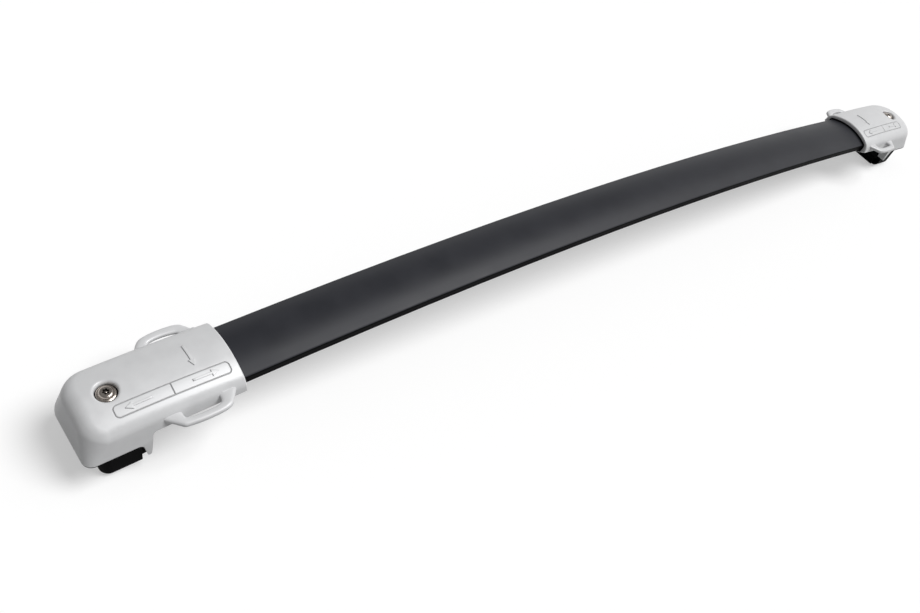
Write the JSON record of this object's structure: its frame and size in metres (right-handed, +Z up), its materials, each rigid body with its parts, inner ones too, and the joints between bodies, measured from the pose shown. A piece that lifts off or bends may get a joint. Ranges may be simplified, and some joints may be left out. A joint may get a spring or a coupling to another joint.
{
  "type": "roof rack crossbar",
  "caption": "Arched black roof rack crossbar between silver cast end caps with tie-down loops, each cap with a screw clamp that grips a side rail.",
  "frame": {"origin": "on the floor, under the middle of the bar", "axes": "+X along the bar, +Y across it to the back, +Z up"},
  "size_m": [1.119, 0.0922, 0.0816],
  "materials": {
    "bar_coat": "satin black coat",
    "cap_paint": "satin silver paint",
    "rubber": "matt",
    "jaw_plastic": "fine grain",
    "bolt_steel": "plated",
    "steel": "zinc plated"
  },
  "bodies": {
    "rack": {"crossbar": "bar_coat", "left_end_cap": "cap_paint", "left_bar_seal": "rubber", "left_bar_screws": "steel", "left_base_gasket": "rubber", "left_leg_pad": "rubber", "left_bolt_washer": "rubber", "right_end_cap": "cap_paint", "right_bar_seal": "rubber", "right_bar_screws": "steel", "right_base_gasket": "rubber", "right_leg_pad": "rubber", "right_bolt_washer": "rubber"},
    "left_bolt": {"left_clamp_bolt": "bolt_steel", "left_bolt_ring": "steel"},
    "left_jaw": {"left_clamp_jaw": "jaw_plastic", "left_clamp_nut": "steel", "left_jaw_pad": "rubber"},
    "right_bolt": {"right_clamp_bolt": "bolt_steel", "right_bolt_ring": "steel"},
    "right_jaw": {"right_clamp_jaw": "jaw_plastic", "right_clamp_nut": "steel", "right_jaw_pad": "rubber"}
  },
  "joints": [
    {"name": "left_bolt_turn", "type": "hinge", "parent": "rack", "child": "left_bolt", "pos_m": [-0.52984, 0, 0.05798], "axis": [-0.0984, 0, 0.9951], "range_deg": [0, 3600]},
    {"name": "left_jaw_slide", "type": "slide", "parent": "rack", "child": "left_jaw", "axis": [0.0984, 0, -0.9951], "range_m": [0, 0.01]},
    {"name": "right_bolt_turn", "type": "hinge", "parent": "rack", "child": "right_bolt", "pos_m": [0.52984, 0, 0.05798], "axis": [0.0984, 0, 0.9951], "range_deg": [0, 3600]},
    {"name": "right_jaw_slide", "type": "slide", "parent": "rack", "child": "right_jaw", "axis": [-0.0984, 0, -0.9951], "range_m": [0, 0.01]}
  ],
  "couplings": [
    {"joint": "left_bolt_turn", "follows": "left_jaw_slide", "rad_per_m": 6283.2},
    {"joint": "right_bolt_turn", "follows": "right_jaw_slide", "rad_per_m": 6283.2}
  ]
}
